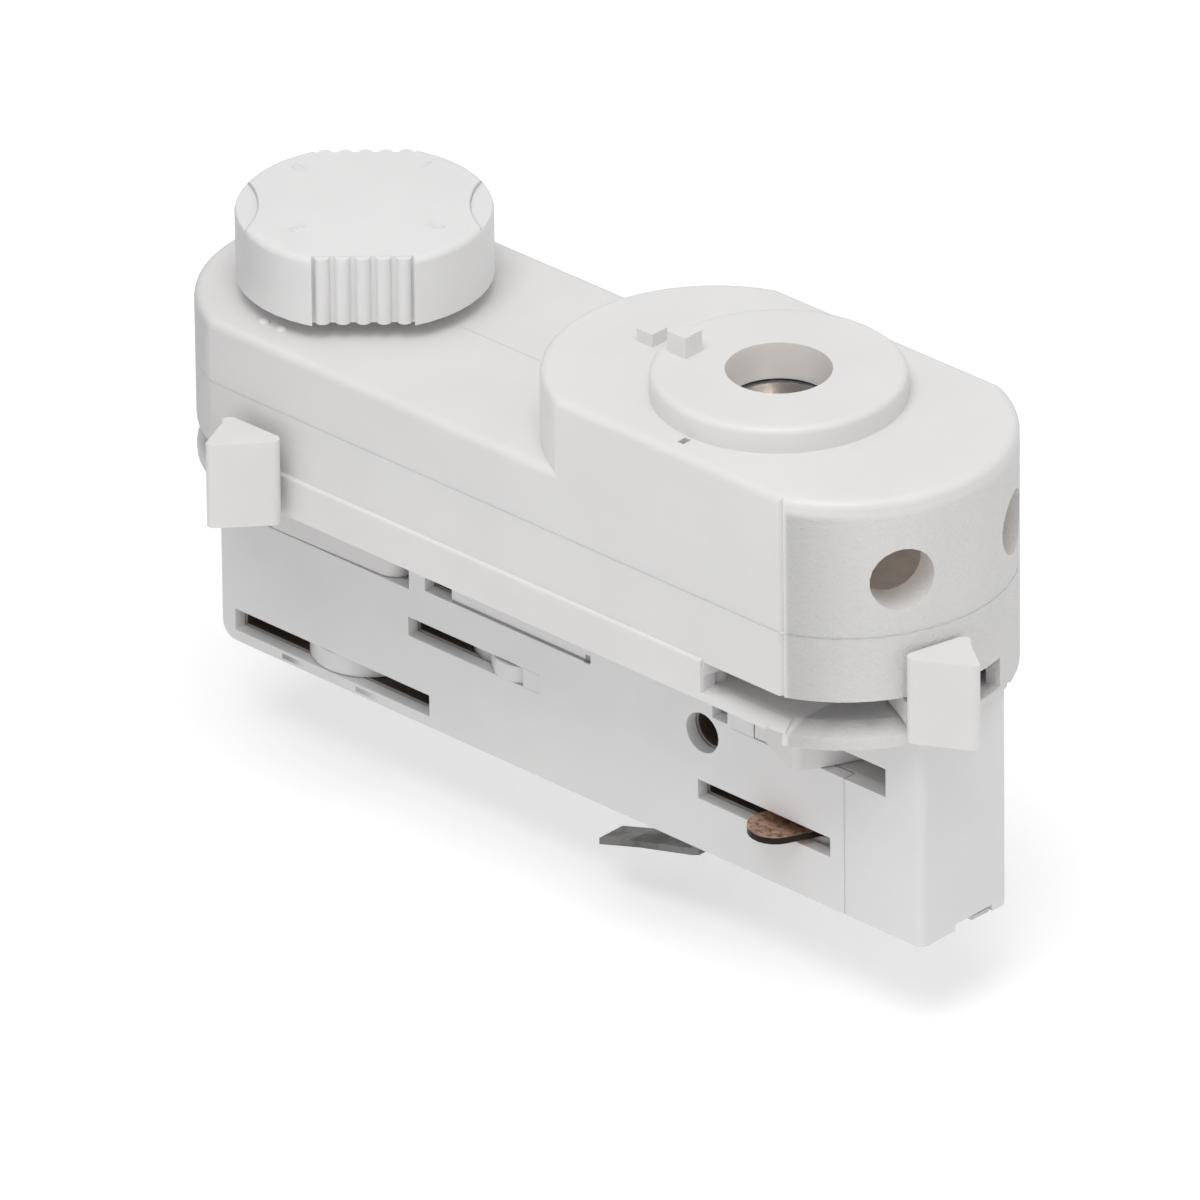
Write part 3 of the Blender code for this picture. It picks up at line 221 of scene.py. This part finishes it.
def deck_seam(graph):
    """Fine seam line along the middle of the deck."""
    left = graph.invert(graph.ramp(graph.x, SEAM_END_X, SEAM_END_X + 0.2 * MM))
    line = graph.times(graph.line(graph.y, 0.0, SEAM_WIDTH), left)
    graph.bump(graph.invert(line), SEAM_DEPTH)
    graph.paint(graph.times(line, SEAM_SHARE), shade(graph.colour, SEAM_TONE))


def painted_room_shade(graph):
    """Painted brown shade in the closed rooms behind the slots, weaker in the right cam's room."""
    inner = graph.invert(graph.ramp(graph.math("ABSOLUTE", graph.y), ROOM_DEPTH - 0.5 * MM, ROOM_DEPTH))
    from_top = graph.minus(insert_high.z, graph.z)
    clear = graph.ramp(graph.math("MINIMUM", graph.z, from_top), ROOM_WALL - FADE, ROOM_WALL)
    along = graph.apart(graph.x, INSERT_X)
    ends = graph.invert(graph.ramp(along, INSERT_REACH - 0.6 * MM, INSERT_REACH - 0.3 * MM))
    inner = graph.times(graph.times(inner, clear), ends)
    cam_side = graph.ramp(graph.x, CAM_ROOM_X - 0.3 * MM, CAM_ROOM_X)
    above = graph.ramp(graph.z, CAM_ROOM_Z - 0.3 * MM, CAM_ROOM_Z)
    lit = graph.times(graph.times(cam_side, above), CAM_ROOM_LIGHT)
    graph.paint(graph.times(inner, graph.invert(lit)), rgb(*PAINTED_ROOM_SHADE))


def panel_marks(graph):
    """Dark marks painted on the panel's front, without relief."""
    for start, end, fade, middle, tall, amount in PANEL_MARKS:
        along = graph.times(graph.ramp(graph.x, start, start + FADE),
                            graph.invert(graph.ramp(graph.x, end - fade, end)))
        mark = graph.times(along, graph.line(graph.z, middle, tall))
        graph.paint(graph.times(mark, amount), shade(graph.colour, MARK_TONE))


def knob_bow_shade(graph):
    """Painted shade lines along the two bowed steps of the knob's top, where the steps' low walls fall
    dark.
    """
    upper = graph.ramp(graph.z, knob_high.z - BOW_DEPTH, knob_high.z - BOW_DEPTH + FADE)
    for side in (-1, 1):
        dx = graph.apart(graph.x, SELECTOR_X + side * BOW_REACH * math.cos(BOW_ANGLE))
        dy = graph.apart(graph.y, side * BOW_REACH * math.sin(BOW_ANGLE))
        squares = graph.math("ADD", graph.math("POWER", dx, 2.0), graph.math("POWER", dy, 2.0))
        line = graph.times(graph.line(graph.math("SQRT", squares), BOW_RADIUS, BOW_WIDTH), upper)
        graph.paint(graph.times(line, BOW_SHARE), shade(graph.colour, BOW_SHADE_TONE))


def plastic(name, colour, roughness, *extras):
    """Moulded plastic with faint mottling, a fine grain and the extras that the piece has."""
    graph = Graph(name, colour, roughness)
    graph.base = graph.mix(graph.ramp(graph.noise(CLOUD_SCALE, 4.0), 0.35, 0.7),
                           shade(colour, CLOUD_TONE), rgb(*colour))
    graph.rough = graph.math("MULTIPLY_ADD", graph.noise(SHEEN_SCALE), SHEEN_SPREAD,
                             roughness - SHEEN_SPREAD / 2)
    graph.bump(graph.noise(GRAIN_SCALE), GRAIN_DEPTH)
    for extra in extras:
        extra(graph)
    return graph.done({"IOR": 1.5, "Subsurface Weight": 0.12, "Subsurface Radius": (1.0, 0.9, 0.8),
                       "Subsurface Scale": 1.2 * MM})


def metal(name, colour, tarnish, roughness, amount=0.5, scale=260.0, grain=0.02 * MM, edge=None):
    """Metal with patches of tarnish and a fine grain, and its own colour on the cut edges."""
    graph = Graph(name, colour, roughness)
    patches = graph.ramp(graph.noise(scale, 5.0, 0.6), 0.42, 0.68)
    graph.base = graph.mix(graph.times(patches, amount), rgb(*colour), rgb(*tarnish))
    graph.rough = graph.math("MULTIPLY_ADD", patches, 0.22, roughness)
    if edge is not None:
        facing = graph.node("ShaderNodeSeparateXYZ")
        graph.link(graph.node("ShaderNodeNewGeometry").outputs["True Normal"], facing.inputs[0])
        flat = graph.ramp(graph.math("ABSOLUTE", facing.outputs[2]), 0.3, 0.8)
        graph.base = graph.mix(flat, rgb(*edge), graph.base)
    graph.bump(graph.noise(1400.0, 2.0), grain)
    return graph.done({"Metallic": 1.0})


materials = {
    "top_cover": plastic("cover_white", WHITE, 0.42, spark_texture_and_shade, deck_seam),
    "base_housing": plastic("base_white", WHITE, 0.42, spark_texture_and_shade),
    "insert_body": plastic("insert_white", INSERT_WHITE, 0.45, painted_room_shade),
    "insert_panel": plastic("panel_white", INSERT_WHITE, 0.45, panel_marks),
    "phase_knob": plastic("knob_white", BRIGHT, 0.38, knob_bow_shade),
    "lever_plastic": plastic("lever_white", WHITE, 0.40),
    "rotor_plastic": plastic("rotor_white", BRIGHT, 0.36),
    "gear_plastic": plastic("gear_white", BRIGHT, 0.4),
    "terminal_plastic": plastic("terminal_white", WHITE, 0.5),
    "brass": metal("brass_metal", (0.74, 0.56, 0.28), (0.42, 0.30, 0.14), 0.30),
    "copper": metal("copper_metal", (0.66, 0.45, 0.34), (0.17, 0.09, 0.055), 0.34, 0.8, 1300.0, 0.06 * MM,
                    edge=(0.035, 0.028, 0.024)),
    "steel": metal("zinc_steel", (0.60, 0.60, 0.61), (0.42, 0.42, 0.43), 0.34),
    "spring_steel": metal("dark_steel", (0.24, 0.235, 0.23), (0.12, 0.12, 0.12), 0.33),
}

# Shading of the CAD pieces
WELD = 0.002 * MM
CREASE = math.radians(32.0)
EDGE_WIDTH = 0.12 * MM
EDGE_ANGLE = math.radians(40.0)


def soft_faces():
    """Node group that joins a mesh's facets and shades round stretches smooth up to the crease."""
    group = bpy.data.node_groups.new("soft_faces", "GeometryNodeTree")
    group.interface.new_socket("Geometry", in_out="INPUT", socket_type="NodeSocketGeometry")
    group.interface.new_socket("Geometry", in_out="OUTPUT", socket_type="NodeSocketGeometry")
    start = group.nodes.new("NodeGroupInput")
    merge = group.nodes.new("GeometryNodeMergeByDistance")
    merge.inputs["Distance"].default_value = WELD
    plain = group.nodes.new("GeometryNodeRemoveAttribute")
    plain.inputs["Name"].default_value = "custom_normal"
    faces = group.nodes.new("GeometryNodeSetShadeSmooth")
    angle = group.nodes.new("GeometryNodeInputMeshEdgeAngle")
    flat = group.nodes.new("FunctionNodeCompare")
    flat.operation = "LESS_THAN"
    flat.inputs["B"].default_value = CREASE
    edges = group.nodes.new("GeometryNodeSetShadeSmooth")
    edges.domain = "EDGE"
    end = group.nodes.new("NodeGroupOutput")
    link = group.links.new
    link(start.outputs[0], merge.inputs["Geometry"])
    link(merge.outputs["Geometry"], plain.inputs["Geometry"])
    link(plain.outputs["Geometry"], faces.inputs["Geometry"])
    link(faces.outputs["Geometry"], edges.inputs["Geometry"])
    link(angle.outputs["Unsigned Angle"], flat.inputs["A"])
    link(flat.outputs["Result"], edges.inputs["Shade Smooth"])
    link(edges.outputs["Geometry"], end.inputs[0])
    return group


def change(piece, name, kind, **values):
    """A modifier on a piece, for the render."""
    step = piece.modifiers.new(name, kind)
    for key, value in values.items():
        setattr(step, key, value)


def put_in_scene(name, data):
    made = bpy.data.objects.new(name, data)
    bpy.context.scene.collection.objects.link(made)
    return made


def mesh_object(name, shape):
    mesh = bpy.data.meshes.new(name)
    shape.to_mesh(mesh)
    shape.free()
    return put_in_scene(name, mesh)


def lofted(rings, closed=False):
    """Body through rings of points, joined end to start when closed and capped otherwise."""
    shape = bmesh.new()
    loops = [[shape.verts.new(point) for point in ring] for ring in rings]
    count = len(loops[0])
    for a, b in zip(loops, loops[1:] + (loops[:1] if closed else [])):
        for i in range(count):
            j = (i + 1) % count
            shape.faces.new((a[i], a[j], b[j], b[i]))
    if not closed:
        shape.faces.new(loops[0])
        shape.faces.new(loops[-1])
    bmesh.ops.recalc_face_normals(shape, faces=shape.faces)
    return shape


def trim(piece, name, rings):
    """Cuts a lofted body out of a piece for the render."""
    cutter = mesh_object(name, lofted(rings))
    cutter.hide_render = True
    cutter.display_type = "WIRE"
    change(piece, name, "BOOLEAN", operation="DIFFERENCE", solver="EXACT", object=cutter)


soft_group = soft_faces()
for piece in nodes.values():
    change(piece, "soft_faces", "NODES", node_group=soft_group)

# The right-hand window's sill slopes down to the lip, and the flange's ledge stops at the window
FLOOR_Z = base_low.z + 2.4 * MM
SILL_LEFT, SILL_RIGHT = LEVER_X - 4.76 * MM, GROOVE_X + 0.54 * MM
SILL_INNER, SILL_OUTER = -15.5 * MM, -19.0 * MM
SILL_RISE, SILL_DROP = 0.25 * MM, 0.90 * MM
SILL_TOP = FLOOR_Z + 2 * MM
LEDGE_ENDS = (SILL_LEFT - 0.1 * MM, LEVER_X + 5.3 * MM)
LEDGE_OUTER, LEDGE_INNER = -18.7 * MM, -18.002 * MM
LEDGE_LOW, LEDGE_TOP = FLOOR_Z + 3 * MM, FLOOR_Z + 4.3 * MM
trim(nodes["base_housing"], "sill_trim",
     [[(x, SILL_INNER, FLOOR_Z + SILL_RISE), (x, SILL_OUTER, rim), (x, SILL_OUTER, SILL_TOP),
       (x, SILL_INNER, SILL_TOP)] for x, rim in ((SILL_LEFT, FLOOR_Z), (SILL_RIGHT, FLOOR_Z - SILL_DROP))])
trim(nodes["base_housing"], "ledge_trim",
     [[(x, LEDGE_OUTER, LEDGE_LOW), (x, LEDGE_INNER, LEDGE_LOW), (x, LEDGE_INNER, LEDGE_TOP),
       (x, LEDGE_OUTER, LEDGE_TOP)] for x in LEDGE_ENDS])

slot_of = {row["node"]: row["material_slot"] for row in frame["record"]["subparts"]}
for name, piece in nodes.items():
    piece.data.materials.clear()
    piece.data.materials.append(materials[slot_of[name]])
for name in ("base_housing", "insert_body", "insert_panel", "left_lever", "right_lever"):
    change(nodes[name], "fine_edges", "BEVEL", width=EDGE_WIDTH, segments=2, limit_method="ANGLE",
           angle_limit=EDGE_ANGLE, use_clamp_overlap=True, harden_normals=True)
for piece in nodes.values():
    change(piece, "weighted_shading", "WEIGHTED_NORMAL", keep_sharp=True, weight=100)


# Pieces of the look
def add_piece(made, slot, body):
    """Gives a new piece its material and lets it ride on a body of the frame."""
    made.data.materials.append(materials[slot])
    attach(made, body)


def dome(name, x, y, z, radius, height, slot, body):
    """Low round pip that stands on a level face."""
    shape = bmesh.new()
    bmesh.ops.create_uvsphere(shape, u_segments=24, v_segments=12, radius=1.0)
    bmesh.ops.scale(shape, vec=(radius, radius, height), verts=shape.verts)
    bmesh.ops.translate(shape, vec=(x, y, z), verts=shape.verts)
    for face in shape.faces:
        face.smooth = True
    add_piece(mesh_object(name, shape), slot, body)


def figure(name, text, size, x, y, z, turn, height, slot, body):
    """Raised figure on a level face."""
    curve = bpy.data.curves.new(name, "FONT")
    curve.body = text
    curve.size = size
    curve.align_x = "CENTER"
    curve.align_y = "CENTER"
    curve.extrude = height
    curve.bevel_depth = height * 0.35
    curve.resolution_u = 4
    made = put_in_scene(name, curve)
    made.location = (x, y, z)
    made.rotation_euler = (0.0, 0.0, turn)
    add_piece(made, slot, body)


def block(name, low, high, slot, body):
    shape = bmesh.new()
    bmesh.ops.create_cube(shape, size=1.0)
    bmesh.ops.scale(shape, vec=[b - a for a, b in zip(low, high)], verts=shape.verts)
    bmesh.ops.translate(shape, vec=[(a + b) / 2 for a, b in zip(low, high)], verts=shape.verts)
    add_piece(mesh_object(name, shape), slot, body)


def slab(name, outline, z0, z1, slot, body):
    """Level slab with the outline given."""
    rings = [[(x, y, z) for x, y in outline] for z in (z0, z1)]
    add_piece(mesh_object(name, lofted(rings)), slot, body)


def arc_points(x, radius, start, end, steps=32):
    return [(x + radius * math.cos(start + (end - start) * i / steps),
             radius * math.sin(start + (end - start) * i / steps)) for i in range(steps + 1)]


def outline_at(inset):
    """Housing outline, moved in by the inset."""
    radius = END_RADIUS - inset
    swing = math.asin((HALF_WIDTH - inset) / radius)
    return (arc_points(LEVER_X, radius, -swing, swing)
            + arc_points(SELECTOR_X, radius, math.pi - swing, math.pi + swing))


# The knob's figures: text, direction in degrees and reach in millimetres
FIGURES = (("0", 173.0, 11.4), ("1", 97.0, 11.3), ("2", 9.0, 9.6), ("3", -100.0, 9.3))
FIGURE_SIZE, FIGURE_HEIGHT, FIGURE_SINK = 3.0 * MM, 0.07 * MM, 0.04 * MM
for text, degrees, reach in FIGURES:
    angle = math.radians(degrees)
    figure(f"dial_figure_{text}", text, FIGURE_SIZE, SELECTOR_X + reach * MM * math.cos(angle),
           reach * MM * math.sin(angle), knob_high.z - FIGURE_SINK, angle - math.pi / 2, FIGURE_HEIGHT,
           "phase_knob", "selector")

# Two pips on the deck mark the knob's place
PIP_RADIUS, PIP_HEIGHT, PIP_Y = 0.7 * MM, 0.35 * MM, -14.05 * MM
for index, dx in enumerate((-2.3, 0.4)):
    dome(f"deck_pip_{index}", SELECTOR_X + dx * MM, PIP_Y, DECK_Z, PIP_RADIUS, PIP_HEIGHT,
         "top_cover", "housing")

# Backing in the parting line and in the panel's upright joint
SKIM = 0.015 * MM
LIP_OUTER, LIP_INNER = outline_at(0.05 * MM), outline_at(1.2 * MM)
LIP_LOW, LIP_HIGH = base_high.z + SKIM, cover_low.z - SKIM
lip_rings = [[(x, y, z) for x, y in points] for points, z in (
    (LIP_OUTER, LIP_LOW), (LIP_OUTER, LIP_HIGH), (LIP_INNER, LIP_HIGH), (LIP_INNER, LIP_LOW))]
add_piece(mesh_object("parting_lip", lofted(lip_rings, closed=True)), "base_housing", "housing")
JOINT_WIDTH = 0.2 * MM
JOINT_PARTS = (("lower", 0.3 * MM, 17.2 * MM), ("upper", 20.9 * MM, panel_high.z - 0.3 * MM))
for part, low, high in JOINT_PARTS:
    block(f"panel_joint_{part}", (panel_high.x + SKIM, panel_low.y + 0.08 * MM, low),
          (panel_high.x + JOINT_WIDTH - SKIM, panel_high.y, high), "insert_body", "housing")

# Flanks beside the right cam, as an outline for the front in millimetres
FLANK = ((-8.35, -5.85), (-7.94, -6.40), (-7.36, -7.06), (-5.62, -7.06), (-5.62, -6.4))
FLANK_LOW, FLANK_HIGH = 17.46 * MM, 20.64 * MM
for name, side in (("cam_flank_rear", -1), ("cam_flank_front", 1)):
    slab(name, [(LEVER_X + side * x * MM, side * y * MM) for x, y in FLANK], FLANK_LOW, FLANK_HIGH,
         slot_of["right_locking_cam"], "right_lock")

# Ends of two panel slots stay closed by webs, hollowed to clear what turns in the slot
WEB_CLEAR = 10.3 * MM
WEB_TURNS = [math.asin(share) for share in (0.6874, 0.615, 0.545)]
for name, centre, side, reach, low, high in (
        ("cam_slot_web", LEVER_X, -1, 10.82 * MM, 17.32 * MM, 20.78 * MM),
        ("lobe_slot_web", ROTOR_X, 1, 10.02 * MM, 10.72 * MM, 13.08 * MM)):
    outline = [(centre + side * WEB_CLEAR * math.cos(turn), -WEB_CLEAR * math.sin(turn))
               for turn in WEB_TURNS]
    outline += [(centre + side * reach, outline[-1][1]), (centre + side * reach, outline[0][1])]
    slab(name, outline, low, high, "insert_panel", "housing")


# Set
def tile(name, size, place, turn, material):
    """Flat square of the set, as wide and deep as twice the size."""
    shape = bmesh.new()
    bmesh.ops.create_grid(shape, x_segments=1, y_segments=1, size=size)
    made = mesh_object(name, shape)
    made.location = place
    made.rotation_euler = turn
    made.data.materials.append(material)
    return made


def matt(name, colour):
    """Plain rough material of one colour."""
    material = bpy.data.materials.new(name)
    material.use_nodes = True
    shader = material.node_tree.nodes["Principled BSDF"]
    shader.inputs["Base Color"].default_value = colour
    shader.inputs["Roughness"].default_value = 0.9
    return material


FLOOR_GLOW = 0.3
paper = matt("paper", rgb(0.9, 0.9, 0.9))
shader = paper.node_tree.nodes["Principled BSDF"]
shader.inputs["Specular IOR Level"].default_value = 0.0
shader.inputs["Emission Color"].default_value = rgb(1.0, 1.0, 1.0)
seen = paper.node_tree.nodes.new("ShaderNodeLightPath")
glow = paper.node_tree.nodes.new("ShaderNodeMath")
glow.operation = "MULTIPLY"
glow.inputs[1].default_value = FLOOR_GLOW
paper.node_tree.links.new(seen.outputs["Is Camera Ray"], glow.inputs[0])
paper.node_tree.links.new(glow.outputs[0], shader.inputs["Emission Strength"])
floor = tile("floor", 6.0, (0.0, 0.0, -0.012), (0.0, 0.0, 0.0), paper)

# Dark card outside the picture that shades the object's left end
CARD_PLACE = (SELECTOR_X - 0.062, -0.034, 0.042)
CARD_TURN = (math.radians(90.0), 0.0, math.radians(133.6))
card = tile("card", 0.036, CARD_PLACE, CARD_TURN, matt("matt_black", rgb(0.01, 0.01, 0.01)))
card.visible_camera = False

# Soft key lamp above the front
KEY_PLACE = Vector((0.24, -0.45, 1.23))
KEY_TARGET = Vector((0.0, 0.0, 0.03))
key = bpy.data.lights.new("key", "AREA")
key.shape = "DISK"
key.size = 0.9
key.energy = 7.5
key_lamp = put_in_scene("key", key)
key_lamp.location = KEY_PLACE
key_lamp.rotation_euler = (KEY_PLACE - KEY_TARGET).to_track_quat("Z", "Y").to_euler()

# Light that comes through the thin walls into the closed rooms
inner = bpy.data.lights.new("inner", "POINT")
inner.energy = 0.0024
inner.color = (1.0, 0.84, 0.70)
inner.shadow_soft_size = 2 * MM
inner_lamp = put_in_scene("inner", inner)
inner_lamp.location = (LEVER_X - 2 * MM, 0.0, DECK_Z - 3 * MM)
inner_lamp.visible_camera = False

# World: soft light all round, and plain white where the camera sees it
ROOM_LIGHT = 0.625
world = bpy.data.worlds.new("room")
bpy.context.scene.world = world
world.use_nodes = True
tree = world.node_tree
soft = tree.nodes["Background"]
white = tree.nodes.new("ShaderNodeBackground")
for background, strength in ((soft, ROOM_LIGHT), (white, 1.0)):
    background.inputs["Color"].default_value = rgb(1.0, 1.0, 1.0)
    background.inputs["Strength"].default_value = strength
ray = tree.nodes.new("ShaderNodeLightPath")
choose = tree.nodes.new("ShaderNodeMixShader")
tree.links.new(ray.outputs["Is Camera Ray"], choose.inputs["Fac"])
tree.links.new(soft.outputs[0], choose.inputs[1])
tree.links.new(white.outputs[0], choose.inputs[2])
tree.links.new(choose.outputs[0], tree.nodes["World Output"].inputs["Surface"])

bpy.context.scene.view_settings.view_transform = "Standard"

# Camera, fitted to the photograph's edges
CAMERA_PLACE = (SELECTOR_X + 1.591816, -1.636282, 1.257650)
CAMERA_TURNS = ((43.555, "Z"), (61.288, "X"), (-0.639, "Z"))
camera_data = bpy.data.cameras.new("camera")
camera_data.sensor_width = 36.0
camera_data.lens = 689.3
camera_data.shift_x = -0.00121
camera_data.shift_y = 0.00037
camera_data.clip_start = 0.1
camera_data.clip_end = 20.0
camera = put_in_scene("camera", camera_data)
view = Matrix.Translation(CAMERA_PLACE)
for degrees, axis in CAMERA_TURNS:
    view = view @ Matrix.Rotation(math.radians(degrees), 4, axis)
camera.matrix_world = view
bpy.context.scene.camera = camera

bpy.context.view_layer.update()
